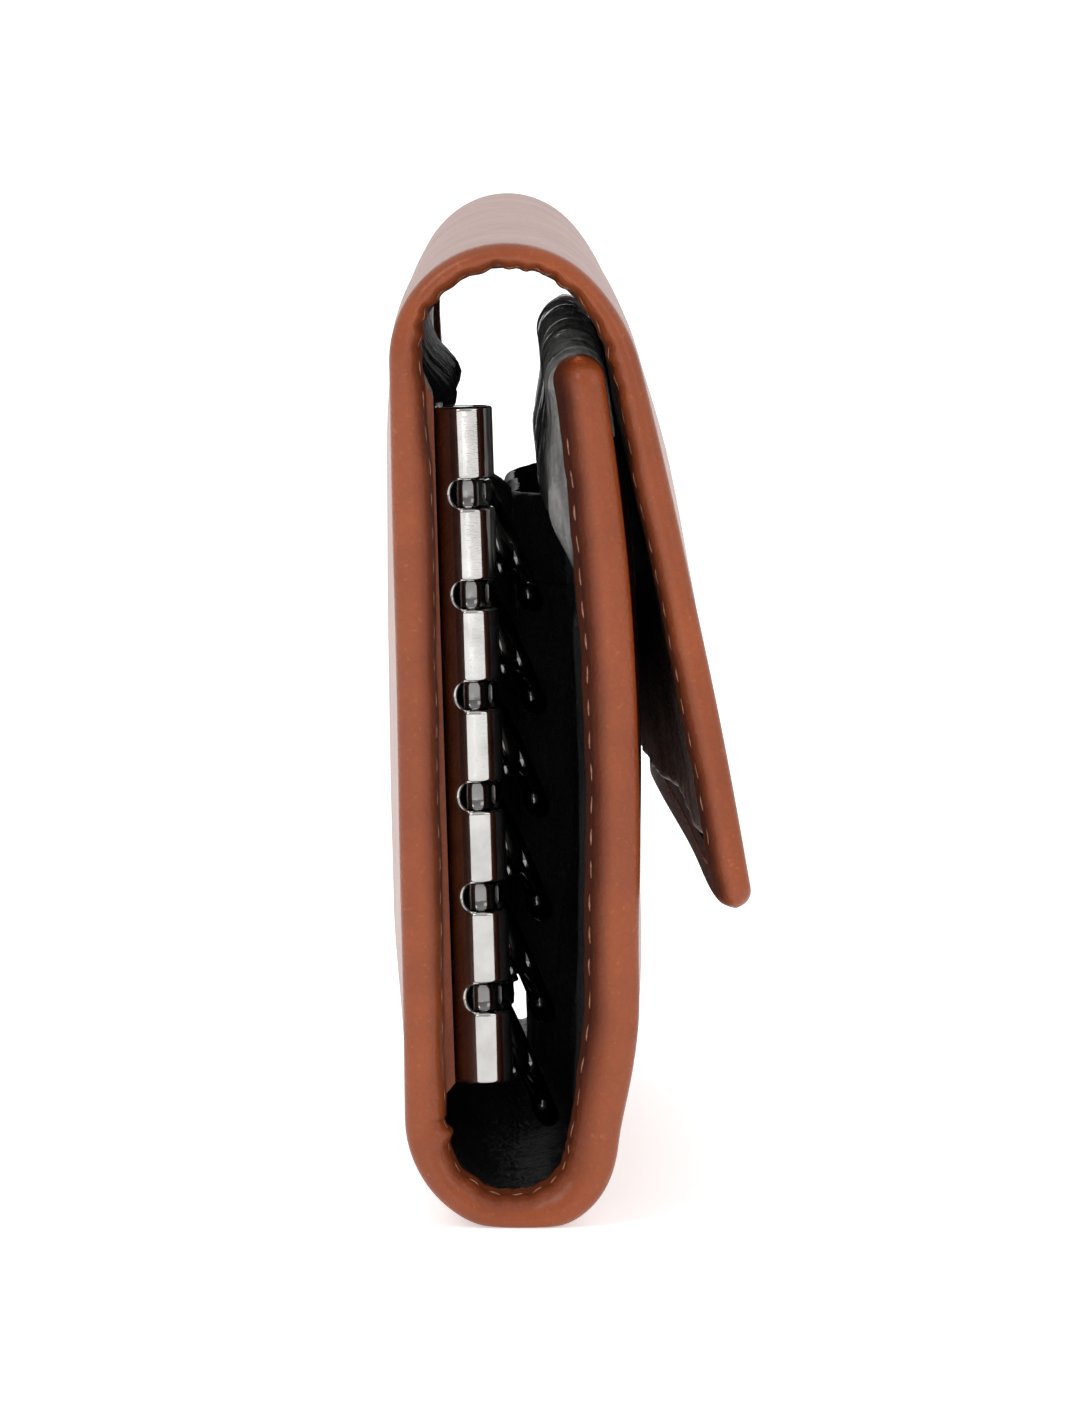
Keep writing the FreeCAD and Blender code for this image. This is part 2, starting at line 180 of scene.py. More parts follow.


# %% [markdown]
# The tan leather is a smooth calf with a satin finish. Its colour drifts slowly over a centimetre, darker
# pores and fine cell lines give the grain, and the inner side of the turned hems, which lies in shade, is
# painted
# much darker than the faces: painted shade. An attribute called hem, written when the mesh is made, tells the
# shader where that is.


# %% Tan leather finish
def tan_leather():
    material, start, place = begin_finish("tan_leather")
    drift = start.noise(place, 110.0, 4.0)
    patch = start.noise(place, 420.0, 3.0)
    pore = start.noise(place, 2600.0, 2.0)
    cell = start.cells(place, 1500.0).clip(0.0, 0.22)
    streak = start.noise(place, 700.0, 3.0, (1.0, 0.12, 1.0))
    hem = start.make("ShaderNodeAttribute", {"attribute_name": "hem"}, {}, 2)
    light = (0.240, 0.051, 0.0108, 1.0)
    deep = (0.152, 0.028, 0.0062, 1.0)
    colour = start.mix(drift.clip(0.30, 0.72) * 0.55 + patch.clip(0.35, 0.75) * 0.35, light, deep)
    pit, fleck, stain = (0.13, 0.032, 0.014, 1.0), (0.46, 0.17, 0.06, 1.0), (0.040, 0.010, 0.006, 1.0)
    colour = start.mix((1.0 - cell) * 0.14 + pore.clip(0.58, 0.80) * 0.20, colour, pit)
    colour = start.mix(pore.clip(0.20, 0.36) * -0.22 + 0.22, colour, fleck)
    # Painted shade: where hem marks the inner side of a turned hem, the colour goes to a dark brown that
    # stands in for the shade there.
    colour = start.mix(hem * (patch * 0.3 + 0.75), colour, stain)
    grain = cell * 0.5 + pore * 0.35 + streak * 0.5
    end_finish(start, {
        "Base Color": colour,
        "Roughness": drift * 0.10 + patch * 0.06 + hem * 0.25 + 0.38,
        "Normal": start.bump(grain, 0.00010, 0.55),
        "Coat Weight": 0.44 - hem * 0.41, "Specular IOR Level": 0.14, "Coat Roughness": 0.22,
    })
    return material


# %% [markdown]
# The lining is thin black leather. Close up it shows a fine pebble grain and small creases, so most of its
# look is bump and roughness and hardly any colour. Where the same attribute, hem, marks it, it is painted grey
# with a glossy coat: a painted sheen for light that falls on the lining.


# %% Black lining finish
def black_lining():
    material, start, place = begin_finish("black_lining")
    cloud = start.noise(place, 160.0, 4.0)
    pebble = start.cells(place, 2300.0, "F1")
    crease = start.noise(place, 900.0, 4.0, (1.0, 0.10, 0.5))
    fine = start.noise(place, 3800.0, 2.0)
    colour = start.mix(cloud.clip(0.3, 0.75), (0.013, 0.013, 0.014, 1.0), (0.030, 0.029, 0.029, 1.0))
    colour = start.mix(crease.clip(0.55, 0.75) * 0.3, colour, (0.036, 0.034, 0.033, 1.0))
    painted_sheen_mask = start.make("ShaderNodeAttribute", {"attribute_name": "hem"}, {}, 2)
    streak = start.noise(place, 1700.0, 4.0, (1.0, 0.5, 0.14))
    # Painted sheen: where hem marks the lining, streaks of grey and a glossy coat stand in for light falling
    # on it.
    painted_sheen_zone = painted_sheen_mask * (crease.clip(0.30, 0.72) * 0.35 + streak.clip(0.36, 0.64) * 0.45 + 0.3)
    colour = start.mix(painted_sheen_zone, colour, (0.47, 0.465, 0.457, 1.0))
    height = (pebble * 0.7 + crease * 1.5 + fine * 0.3) * (1.0 - painted_sheen_mask * 0.4) + streak * painted_sheen_mask * 1.5
    end_finish(start, {
        "Base Color": colour,
        "Roughness": cloud * 0.15 + fine * 0.10 - painted_sheen_mask * 0.06 + 0.33,
        "Normal": start.bump(height, 0.00016, 0.7),
        "Coat Weight": painted_sheen_zone, "Coat Roughness": 0.16, "Specular IOR Level": 0.5,
    })
    return material


# %% [markdown]
# The rail and hooks are bright plated steel. The hooks get a much darker copy of the plating, as painted shade
# for the dark inside of the case where they hang. A perfect mirror looks false, so the roughness wanders a
# little, faint polishing lines run round the tubes, and a thin film of haze dulls some places.


# %% Plated, thread and inner finishes
def bright_plating(name, colour, dull, haze):
    material, start, place = begin_finish(name)
    film = start.noise(place, 500.0, 4.0)
    polish = start.noise(place, 2400.0, 2.0, (1.0, 1.0, 6.0))
    end_finish(start, {
        "Base Color": start.mix(film.clip(0.40, 0.75), colour, dull),
        "Metallic": 1.0,
        "Roughness": film.clip(0.45, 0.8) * haze + polish * 0.03 + 0.035,
        "Normal": start.bump(polish, 0.000006, 0.5),
    })
    return material


def sewing_thread():
    material, start, place = begin_finish("sewing_thread")
    twist = start.noise(place, 5200.0, 1.0, (1.0, 0.5, 0.5))
    colour = start.mix(twist.clip(0.35, 0.65), (0.16, 0.062, 0.034, 1.0), (0.31, 0.135, 0.080, 1.0))
    end_finish(start, {"Base Color": colour, "Roughness": twist * 0.2 + 0.55,
                       "Normal": start.bump(twist, 0.00008, 0.8)})
    return material


def pressed_board():
    material, start, place = begin_finish("pressed_board")
    fibre = start.noise(place, 1800.0, 4.0, (1.0, 0.25, 1.0))
    colour = start.mix(fibre, (0.26, 0.17, 0.10, 1.0), (0.44, 0.32, 0.21, 1.0))
    end_finish(start, {"Base Color": colour, "Roughness": fibre * 0.2 + 0.7,
                       "Normal": start.bump(fibre, 0.0001, 0.6)})
    return material


tan = tan_leather()
black = black_lining()
rail_chrome = bright_plating("rail_plating", (0.46, 0.45, 0.435, 1.0), (0.35, 0.34, 0.33, 1.0), 0.06)
# Painted shade: the hooks' plating is a darker copy of the rail's, standing in for the shade inside the case.
shaded_hook_chrome = bright_plating("hook_plating", (0.20, 0.195, 0.19, 1.0), (0.13, 0.125, 0.12, 1.0), 0.08)
thread = sewing_thread()
board = pressed_board()
magnet_plating = bright_plating("magnet_plating", (0.55, 0.55, 0.55, 1.0), (0.40, 0.40, 0.40, 1.0), 0.25)
print("finishes", [material.name for material in bpy.data.materials])

# %% [markdown]
# Light: a pale floor and a soft bright room. The room is a little dimmer on the camera's side, which is what
# puts grey into the plated rail. Two large soft lamps give the leather some shape, and a smaller one behind
# the camera lights the inside.


# %% Floor, room and lamps
def make_stage():
    """A flat square floor, and a room that brightens from the camera's side to the far side and the top."""
    reach = 30.0
    mesh = bpy.data.meshes.new("floor")
    mesh.from_pydata([(-reach, -reach, 0), (reach, -reach, 0), (reach, reach, 0), (-reach, reach, 0)], [],
                     [(0, 1, 2, 3)])
    floor = bpy.data.objects.new("floor", mesh)
    bpy.context.scene.collection.objects.link(floor)
    material, start, place = begin_finish("floor_paint")
    cloud = start.noise(place, 3.0, 2.0)
    end_finish(start, {"Base Color": start.mix(cloud, (0.93, 0.93, 0.93, 1.0), (0.96, 0.96, 0.96, 1.0)),
                       "Roughness": 0.8, "Specular IOR Level": 0.1, "Emission Color": (1.0, 1.0, 1.0, 1.0),
                       "Emission Strength": 0.45})
    mesh.materials.append(material)
    world = bpy.data.worlds.new("room")
    world.use_nodes = True
    world.node_tree.nodes.clear()
    bpy.context.scene.world = world
    start = Tone(world.node_tree)
    way = start.make("ShaderNodeTexCoord", {}, {}, 0)
    far, high = (start.make("ShaderNodeSeparateXYZ", {}, {0: way}, axis) for axis in (1, 2))
    strength = (far + high * 0.9).clip(-0.9, 0.6) * 0.50 + 0.62
    room = start.make("ShaderNodeBackground", {}, {"Color": (1.0, 1.0, 1.0, 1.0), "Strength": strength})
    start.make("ShaderNodeOutputWorld", {}, {"Surface": room})


def soft_lamp(name, place, power, size):
    """A square lamp of that width, turned towards the middle of the case."""
    lamp = bpy.data.objects.new(name, bpy.data.lights.new(name, "AREA"))
    lamp.data.energy, lamp.data.size = power, size
    lamp.location = place
    target = (cad_low + cad_high) / 2
    lamp.rotation_euler = (target - lamp.location).to_track_quat("-Z", "Y").to_euler()
    bpy.context.scene.collection.objects.link(lamp)
    return lamp


make_stage()
soft_lamp("key_lamp", (-0.7, -1.1, 0.9), 4.0, 0.6)
soft_lamp("fill_lamp", (0.9, -0.9, 0.5), 1.5, 0.6)
soft_lamp("front_lamp", (0.0, -1.25, 0.16), 4.0, 0.2).visible_glossy = False
print("stage and lamps made")

# %% [markdown]
# Every piece below is a grid of points, a function of two parameters, turned into quads. A closed tube joins
# its last column to its first. A leather or lining piece has two skins, an outer and an inner grid, joined by
# a rim all round; where the two skins meet in a rounded edge, the double points are merged.


# %% Grids into meshes
def grid_faces(rows, columns, closed=False):
    """Quads between neighbours of a grid; a closed grid also joins the last column to the first."""
    row = np.arange(rows - 1)[:, None]
    column = np.arange(columns if closed else columns - 1)[None, :]
    right = (column + 1) % columns
    this, following = row * columns, (row + 1) * columns
    corners = [this + column, this + right, following + right, following + column]
    return np.stack(np.broadcast_arrays(*corners), -1).reshape(-1, 4)


def two_skins(outer, inner):
    """One closed form from two grids of one size: outer skin, inner skin turned over, and a rim."""
    rows, columns = outer.shape[:2]
    count = rows * columns
    skin = grid_faces(rows, columns)
    index = np.arange(count).reshape(rows, columns)
    ring = np.concatenate([index[0, :-1], index[:-1, -1], index[-1, :0:-1], index[:0:-1, 0]])
    after = np.roll(ring, -1)
    rim = np.stack([after, ring, ring + count, after + count], -1)
    points = np.concatenate([outer.reshape(-1, 3), inner.reshape(-1, 3)])
    return points, np.concatenate([skin, skin[:, ::-1] + count, rim])


def tube(rings):
    """A closed tube from rings of points, rows along it and columns round it, with a fan of triangles at each
    end. A triangle is kept as a quad that names its last point twice."""
    rows, columns = rings.shape[:2]
    points = np.concatenate([rings.reshape(-1, 3), rings[0].mean(0)[None], rings[-1].mean(0)[None]])
    ring = np.arange(columns)
    after = np.roll(ring, -1)
    first, last = rows * columns, rows * columns + 1
    start = np.stack([after, ring, np.full(columns, first), np.full(columns, first)], -1)
    base = (rows - 1) * columns
    end = np.stack([base + ring, base + after, np.full(columns, last), np.full(columns, last)], -1)
    return points, np.concatenate([grid_faces(rows, columns, True), start, end])


def together(forms):
    """Several forms as one list of points and one list of faces."""
    shift = np.cumsum([0] + [len(points) for points, faces in forms[:-1]])
    return (np.concatenate([points for points, faces in forms]),
            np.concatenate([faces + step for (points, faces), step in zip(forms, shift)]))


def make_piece(name, form, finish, marks=None):
    """A mesh object from a form in millimetres. Double points are merged, faces turned outwards, and edges
    sharper than 40 degrees stay crisp. Marks, one number for each point, become the attribute hem, which
    carries painted shade on the leather and painted sheen on the lining."""
    points, faces = form
    lists = [face[:3] if face[2] == face[3] else face for face in faces.tolist()]
    mesh = bpy.data.meshes.new(name)
    mesh.from_pydata(points * mm, [], lists)
    if marks is not None:
        mesh.attributes.new("hem", "FLOAT", "POINT").data.foreach_set("value", marks.astype(np.float32))
    sheet = bmesh.new()
    sheet.from_mesh(mesh)
    bmesh.ops.remove_doubles(sheet, verts=sheet.verts, dist=2e-6)
    bmesh.ops.recalc_face_normals(sheet, faces=sheet.faces)
    sheet.to_mesh(mesh)
    sheet.free()
    mesh.shade_smooth()
    mesh.set_sharp_from_angle(angle=math.radians(40))
    mesh.materials.append(finish)
    piece = bpy.data.objects.new(name, mesh)
    bpy.context.scene.collection.objects.link(piece)
    print(name, len(mesh.polygons), "faces")
    return piece


# %% [markdown]
# The wrap is one long leather strip, bent into a chain of straight and round runs. Each run is a length and a
# turn; adding up the turns gives the heading, and adding up short steps along it gives the line. Two strips
# start where the back panel leaves the bottom fold: "over" goes up the back, over the top and down the flap,
# and "under" goes round the bottom and up the front panel. Each crosses one fold that moves.

# %% Wrap line and how it settles
half_length = 56.0
hem_width = 5.0
well_half = half_length - hem_width
seam, strip_steps, past_end = (-7.998, 7.332), 4001, 8.0
back_bow, front_bow, far_pinch, flap_lean, foot_sway = 1.0, 0.65, 0.115, 3.2, 0.36


def ease(value):
    """Zero below 0, one above 1, and a smooth rise between."""
    share = np.clip(value, 0, 1)
    return share * share * (3 - 2 * share)


def bell(value, middle, width):
    """A smooth bump of height one, which has all but gone at twice the width."""
    return np.exp(-((value - middle) / width) ** 2)


def rounded(share):
    """A quarter circle that rises from zero at 0 to one at 1 and stays there, for rounded edges."""
    return np.sqrt(1 - (1 - np.clip(share, 0, 1)) ** 2)


def turns(columns):
    """Angles at equal steps round a circle."""
    return np.linspace(0, 2 * np.pi, columns, endpoint=False)


def settle(x, y, z, lean):
    """Where a point of the flat-sided wrap ends up in a used case. Both panels bow outwards between the two
    ends, the far end is pinched towards its middle near the top, the flap leans in at its far end, the front
    sways out above its foot, and the foot is pressed flat on the floor."""
    far = np.clip((y + half_length) / (2 * half_length), 0, 1)
    bow = np.sin(np.pi * far) ** 1.6 * ease((z - 4) / 14) * ease((65 - z) / 14)
    side = np.clip(x / 5, -1, 1)
    x = x + bow * np.where(side < 0, back_bow, front_bow) * side
    pinch = far_pinch * far ** 1.2 * ease((z - 38) / 24)
    x = x + (-1.0 - x) * pinch - lean * flap_lean * far ** 0.8
    x = x + foot_sway * (bell(z, 14, 4.5) - bell(z, 5.5, 3.4)) * ease((x - 1.5) / 4)
    z = (z + np.sqrt(z * z + 0.16)) / 2 - 0.07 * np.exp(-np.clip(z, 0, None) / 1.5)
    return np.stack(np.broadcast_arrays(x, y, z), -1)


def arc(radius, angle):
    """A round run of the line: its length and its turn in degrees."""
    return radius * math.radians(abs(angle)), angle


def bent_line(start, heading, runs, count, past=0.0):
    """A chain of runs as the lengths where they meet, then count lengths, points and headings along it. The
    last run goes on straight for a length past its end."""
    meets = np.cumsum([0.0] + [run[0] for run in runs])
    headings = heading + np.cumsum([0.0] + [run[1] for run in runs])
    line = np.linspace(0, meets[-1] + past, count)
    way = np.radians(np.interp(line, meets, headings))
    middle = (way[1:] + way[:-1]) / 2
    moves = np.diff(line)[:, None] * np.stack([np.cos(middle), np.sin(middle)], -1)
    return meets, line, start + np.concatenate([[[0, 0]], np.cumsum(moves, 0)]), way


class Strip:
    """A run of the wrap: its outer line, its thickness along the line, where it is gathered by bending, how
    much thicker its hems are at the end and at a ridge three millimetres in, and how much painted shade
    darkens their inner side."""

    def __init__(self, heading, side, runs, thickness, gathers, ends, ridges, stains, lean_from):
        meets, self.line, points, self.way = bent_line(seam, heading, runs, strip_steps, past_end)
        self.starts, self.end = meets[:-1], meets[-1]
        self.x, self.z = points.T
        self.side, self.thickness, self.gathers = side, thickness, gathers
        self.ends, self.ridges, self.stains, self.lean_from = ends, ridges, stains, lean_from

    def thick(self, s):
        return np.interp(s, *self.thickness)

    def lean(self, s):
        return np.clip((s - self.lean_from) / 26, 0, 1.05)

    def place(self, s, y, depth):
        """Point at length s, y along the fold and a depth below the face; a leaning flap also sags."""
        s = s + 1.1 * self.lean(s) * np.cos(np.pi * y / (2 * half_length))
        way = np.interp(s, self.line, self.way)
        x = np.interp(s, self.line, self.x) - self.side * np.sin(way) * depth
        z = np.interp(s, self.line, self.z) + self.side * np.cos(way) * depth
        return settle(x, y, z, self.lean(s) ** 1.2)

    def hem(self, s, y):
        """Depth of a hem's inner face: the thickness with a slope from the end to the ridge and down again,
        small gathers where the strip bends, a slow waver, and a dent along the sewn row."""
        from_end = half_length - np.abs(y)
        inwards = np.clip(from_end / 3, 0, 1)
        ridge = inwards * np.clip((hem_width + 0.4 - from_end) / 2, 0, 1)
        extra = np.interp(s, *self.ends) * (1 - inwards) + np.interp(s, *self.ridges) * ridge
        beat = np.sin(3.1 * s + 1.9 * np.sin(0.57 * s) + 0.6 * np.sign(y)) + 0.7 * np.sin(1.63 * s + 2.2)
        gather = np.interp(s, *self.gathers) * beat * (0.35 + 0.65 * np.exp(-from_end / 10))
        waver = 0.04 * np.sin(s / 1.9 + 1.1 * np.sin(s / 4.3)) + 0.02 * np.sin(s / 0.83 + np.sign(y))
        return self.thick(s) + extra + gather + waver - 0.10 * bell(from_end, 2.1, 0.4)


flap_run, front_run = 36.0, 51.5
over_hem = [0, 4, 42, 54, 76, 84, 114]
over = Strip(
    heading=91.2, side=-1,
    runs=[(51.3, 0), arc(8.0, -136.2), arc(13.0, -31.2), arc(570.0, -math.degrees(flap_run / 570.0))],
    thickness=([0, 6, 44, 52, 56, 72, 79, 86, 114], [2.5, 2.75, 2.75, 2.2, 1.8, 1.8, 2.15, 2.4, 2.4]),
    gathers=([0, 48, 54, 74, 80, 114], [0, 0, 0.10, 0.11, 0.03, 0.03]),
    ends=(over_hem, [0.1, -0.2, -0.2, -0.4, -0.4, -0.4, -0.35]),
    ridges=(over_hem, [0.3, 0.1, 0.1, 0.0, 0.0, 0.0, 0.0]),
    stains=([0, 8, 16, 46, 56, 76, 84, 104, 108, 114], [0.4, 0.5, 0.9, 0.9, 0.4, 0.4, 0.8, 0.8, 1, 1]),
    lean_from=86)
under_hem = [0, 0.8, 1.6, 2.6, 4, 9, 13, 17, 21, 25, 31, 37, 74]
under = Strip(
    heading=271.2, side=1,
    runs=[arc(8.0, 88.8), arc(6.9, 84.2), arc(206.0, math.degrees(front_run / 206.0))],
    thickness=([0, 5, 9, 18, 25, 31, 66, 74], [2.5, 2.1, 2.0, 2.05, 2.9, 3.4, 3.4, 3.3]),
    gathers=([0, 3, 8, 18, 24, 80], [0.02, 0.04, 0.05, 0.05, 0.03, 0.02]),
    ends=(under_hem, [0.0, 0.2, 0.7, 0.1, 0.1, 0.2, 0.4, 0.7, 0.8, 0.2, -0.4, -0.6, -0.7]),
    ridges=(under_hem, [0.1, 0.3, 0.8, 0.4, 0.4, 0.6, 0.9, 1.3, 1.4, 0.7, 0.3, 0.3, 0.2]),
    stains=([0, 8, 16, 22, 30, 74], [0.4, 0.5, 0.55, 0.7, 1, 1]),
    lean_from=900)
print("strips", round(over.end, 2), "and", round(under.end, 2), "mm long")

# %% [markdown]
# Each leather strip has two skins. Across the strip the skins curl into each other at both ends, as leather
# does that is turned over and sewn down, and inside the hems the inner skin drops into a well for board and
# lining. Along the strip the free end curls shut the same way. Working the curl out as a quarter turn keeps
# the edge round in any view.

# %% Leather strips
curl = np.radians(np.linspace(90, 0, 9))
outer_curl, inner_curl = 1.0, 1.2
middle_columns = np.linspace(-49.6, 49.6, 46)


def across(parts, middle):
    """Columns across a strip: the parts of one end, the middle, and the other end as a mirror image."""
    end = np.concatenate(parts)
    return np.concatenate([end, middle, -end[::-1]])


curl_y = 1 - np.sin(curl)
well_edge = [-well_half - 0.02, -well_half]
outer_y = across([outer_curl * curl_y - half_length, np.linspace(-54.6, -50.4, 10)], middle_columns)
inner_y = across([inner_curl * curl_y - half_length, np.linspace(-54.6, -51.1, 8), well_edge], middle_columns)
end_drop = np.abs(across([np.cos(curl) - 1, np.zeros(10)], 0 * middle_columns))
in_well = np.abs(inner_y) < well_half + 0.01


def leather_form(strip, rows, tip_hem, covered):
    """Two skins of a strip along its rows, and the painted shade at each point, on the inner skin only. The
    tip curls over a half circle of the strip's thickness, its corners are rounded in plan, and a covered tip
    is lower between the hems."""
    turn = np.concatenate([np.zeros(len(rows)), np.radians(np.linspace(12, 90, 8))])[:, None]
    base = np.concatenate([rows, np.full(8, strip.end)])[:, None]
    thick = strip.thick(base)
    s = base + thick / 2 * np.sin(turn)
    corner = 1.3
    past = np.clip(s - (strip.end + 1.2 - corner), 0, corner)
    shrink = 1 - (corner - np.sqrt(corner ** 2 - past ** 2)) / half_length
    near_tip = covered * ease((s - strip.end + 3) / 3)

    def between_hems(y):
        return ease((well_half - np.abs(y)) / 1.2)

    def skin(y, depth):
        sunk = 0.8 * near_tip * between_hems(y)
        lifted = 0.7 * near_tip * ease((np.abs(y) - 50.5) / 1.5)
        squeezed = thick / 2 + (depth - thick / 2) * np.cos(turn)
        return strip.place(s - sunk + lifted, y * shrink, squeezed)

    crease = 0.06 * bell(half_length - np.abs(outer_y), 1.9, 0.22)
    dents = np.sin(outer_y / 8.3 + np.sin(base / 6.1)) * np.sin(base / 7.7 + 0.8 * np.sin(outer_y / 11))
    sunk_face = 0.5 * covered * between_hems(outer_y) * ease((base - strip.end + 5.5) / 1.5)
    outer = skin(outer_y[None], thick / 2 * end_drop + crease + 0.05 * dents + sunk_face)
    hem_face = strip.hem(base, inner_y[None])
    hem_face = hem_face + (thick / 2 - hem_face) * end_drop
    well = in_well[None] & (base < strip.end - tip_hem)
    inner = skin(inner_y[None], np.where(well, 1.2, hem_face))
    # Painted shade on the inner skin of the hems, fading out towards the curled end.
    painted_shade = np.interp(base, *strip.stains) * (1 - end_drop) ** 1.6 * np.cos(turn) ** 2
    return two_skins(outer, inner), np.concatenate([np.zeros(painted_shade.size), painted_shade.ravel()])


def step_rows(strip, tip_hem, parts):
    """Row places along a strip, with two rows close together where the well ends."""
    well_end = strip.end - tip_hem
    rows = [np.linspace(*part) for part in parts] + [[well_end - 0.04, well_end + 0.04, strip.end]]
    return np.unique(np.concatenate(rows))


flap_hem = 3.6
over_rows = step_rows(over, flap_hem, [(0, 50, 36), (50.4, 79, 96), (79.6, over.end - 9, 32),
                                       (over.end - 8, over.end - 0.5, 12)])
form, painted_shade = leather_form(over, over_rows, flap_hem, 0.0)
wrap_over = make_piece("wrap_back_top_flap", form, tan, painted_shade)
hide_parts("back_panel_leather", "top_fold_leather", "flap_leather")
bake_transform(wrap_over)

under_rows = step_rows(under, hem_width, [(0, 24.5, 84), (25, under.end - 6, 46),
                                          (under.end - 4.6, under.end - 0.4, 9)])
form, painted_shade = leather_form(under, under_rows, hem_width, 1.0)
wrap_under = make_piece("wrap_bottom_front", form, tan, painted_shade)
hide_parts("bottom_fold_leather", "front_panel_leather")
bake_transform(wrap_under)

# %% [markdown]
# The black lining is cut a little large and only held at the hems, so it puffs out between them: a lump above
# the rail on the back, a slack roll over the front panel's upper edge, and small creases everywhere. It could
# be simulated as cloth, but the puffs here are few and known, so they are written as smooth hills on the
# strip's own coordinates, with sums of sines for the creases. That is quick and repeats exactly.


# %% Creases and puffs of the lining
def crumple(s, y):
    """Creases a few millimetres apart that wander along the strip, from -1 to 1."""
    first = np.sin(2.3 * y + 1.4 * np.sin(0.33 * s + 0.05 * y) + 0.8)
    second = np.sin(1.31 * y - 0.45 * s + 1.1 * np.sin(0.21 * y))
    third = np.sin(0.9 * s + 0.62 * y + 1.7 * np.sin(0.17 * y + 0.3 * s))
    return 0.45 * first + 0.3 * second + 0.25 * third


def hill(value, low, high, soft):
    """One between low and high, falling smoothly to zero over soft on both sides."""
    return ease((value - low) / soft + 1) * ease((high - value) / soft + 1)


def cross_creases(y):
    """Straight creases about three millimetres apart that cross the roll, from -1 to 1."""
    return np.sin(1.9 * y + 1.2 * np.sin(0.47 * y))


def back_puff(s, y):
    """A lump above the rail, and slack behind the hooks from the bottom up; flat under the rail."""
    lump = bell(s, 47.8, np.where(s > 47.8, 2.1, 3.4)) * ease((53 - s) / 1.5) * hill(y, -18, 22, 16)
    wall = ease(s / 3)
    slack = (4.7 + 0.7 * ease((s - 4) / 12)) * wall * hill(y, -5, -2, 11)
    slack = (slack + 2.0 * (1 - wall) * hill(y, 8, 34, 18)) * ease((44.5 - s) / 5)
    creases = 0.16 * crumple(s, y) * hill(y, -30, 46, 8) + 0.25 * crumple(1.7 * s, 0.8 * y) * lump
    by_rail = hill(y, -60, -40, 4) * hill(s, -5, 49, 2)
    return (2.4 * lump + slack + creases) * (1 - by_rail) - 0.4 * hill(y, -60, -41, 1)


def front_puff(s, y):
    """Slack that goes round the bottom and up the front, and a fuller roll towards the front's upper edge."""
    low = (2.0 + 1.8 * ease(s / 8)) * ease((40 - s) / 14) * hill(y, 8, 34, 18)
    fuller = 1.4 * ease((s - 60) / 6) * (1 - 0.55 * ease((s - 67) / 7))
    upper = fuller * hill(y, -48.4, 47, 2.5) + 0.5 * hill(s, 65, 68, 4) * hill(y, -26, 40, 14)
    middle = 1.1 * hill(s, 36, 58, 10) * hill(y, -6, 42, 12)
    painted_sheen_zone = ease((s - 58) / 8)
    creases = (0.10 + 0.12 * painted_sheen_zone) * crumple(s, y) + 0.16 * painted_sheen_zone * cross_creases(y)
    return low + upper + middle + creases * hill(y, -48, 48, 3)


def flap_puff(s, y):
    """Creased in the fold, almost touching the front panel along the middle, and loose towards the tip."""
    near_tip = ease((s - 92) / 9)
    loose = (0.10 + 0.30 * near_tip) * (0.5 + 0.5 * crumple(0.8 * s, 0.55 * y + 2))
    near = (0.6 + 0.6 * ease((s - 96) / 8)) * hill(s, 84, 109.0, 1.4) * hill(y, 16, 46, 22)
    fold = 0.10 * crumple(3 * s, 0.4 * y) * hill(s, 54, 74, 4)
    return 0.05 + (loose + near) * hill(y, -48, 48, 3) * ease((s - 70) / 10) + fold


# %% [markdown]
# A lining piece is again two skins. Its edges sink to the lower skin over 0.8 mm, as a skived edge does that
# is tucked under the hem.

# %% Linings of back, top and flap
lining_half, lining_edge = well_half - 0.07, 0.8
edge_shares = np.array([0.0, 0.02, 0.10, 0.30, 0.62, 1.0])
lining_y = across([lining_edge * edge_shares - lining_half], np.linspace(-49.9, 49.9, 168))
lining_rise = rounded((lining_half - np.abs(lining_y)) / lining_edge)
board_face = ([0, 46, 49, 75, 78.5, 114], [1.96, 1.96, 1.25, 1.25, 1.96, 1.96])
lining_face = ([0, 45, 49.5, 74, 79, 114], [2.77, 2.77, 1.8, 1.8, 2.38, 2.38])
lining_break = 53.0


def lining_form(rows, puff, free_end):
    """Skins on the boards and at the lining's face with its puff, which meet at the sides and a free end."""
    s, y = rows[:, None], lining_y[None]
    rise = lining_rise[None]
    if free_end:
        rise = rise * rounded((rows[-1] - s) / lining_edge)
    low = np.interp(s, *board_face) + 0 * y
    high = low + (np.interp(s, *lining_face) + puff(s, y) - low) * rise
    return two_skins(over.place(s, y, low), over.place(s, y, high))


form = lining_form(np.linspace(0, lining_break, 78), back_puff, False)
back_lining = make_piece("back_lining_puffed", form, black)
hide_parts("back_panel_lining")
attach(back_lining, "back")

edge_steps = np.array([1.2, 0.8, 0.5, 0.25, 0.1, 0.02, 0.0])
lining_rows = np.concatenate([np.linspace(lining_break, 79, 70), np.linspace(79.5, over.end - 5.2, 50),
                              over.end - flap_hem - 0.1 - edge_steps])
form = lining_form(lining_rows, flap_puff, True)
# Painted sheen: the flap lining turns grey towards its tip, for the light that falls on it there.
painted_sheen_zone = np.tile(np.repeat(0.28 * ease((lining_rows - 98) / 8), lining_y.size), 2)
flap_lining = make_piece("top_and_flap_lining", form, black, painted_sheen_zone)
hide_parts("top_fold_lining", "flap_lining")
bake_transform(flap_lining)

# %% [markdown]
# The front lining runs round the bottom fold, up the inner side of the front panel, over its upper edge in a
# slack roll, and a few millimetres down its outer side. Its profile is a line in two coordinates, length
# along the strip and depth below the face, so the roll is a half circle there whose radius shrinks on the way
# over.

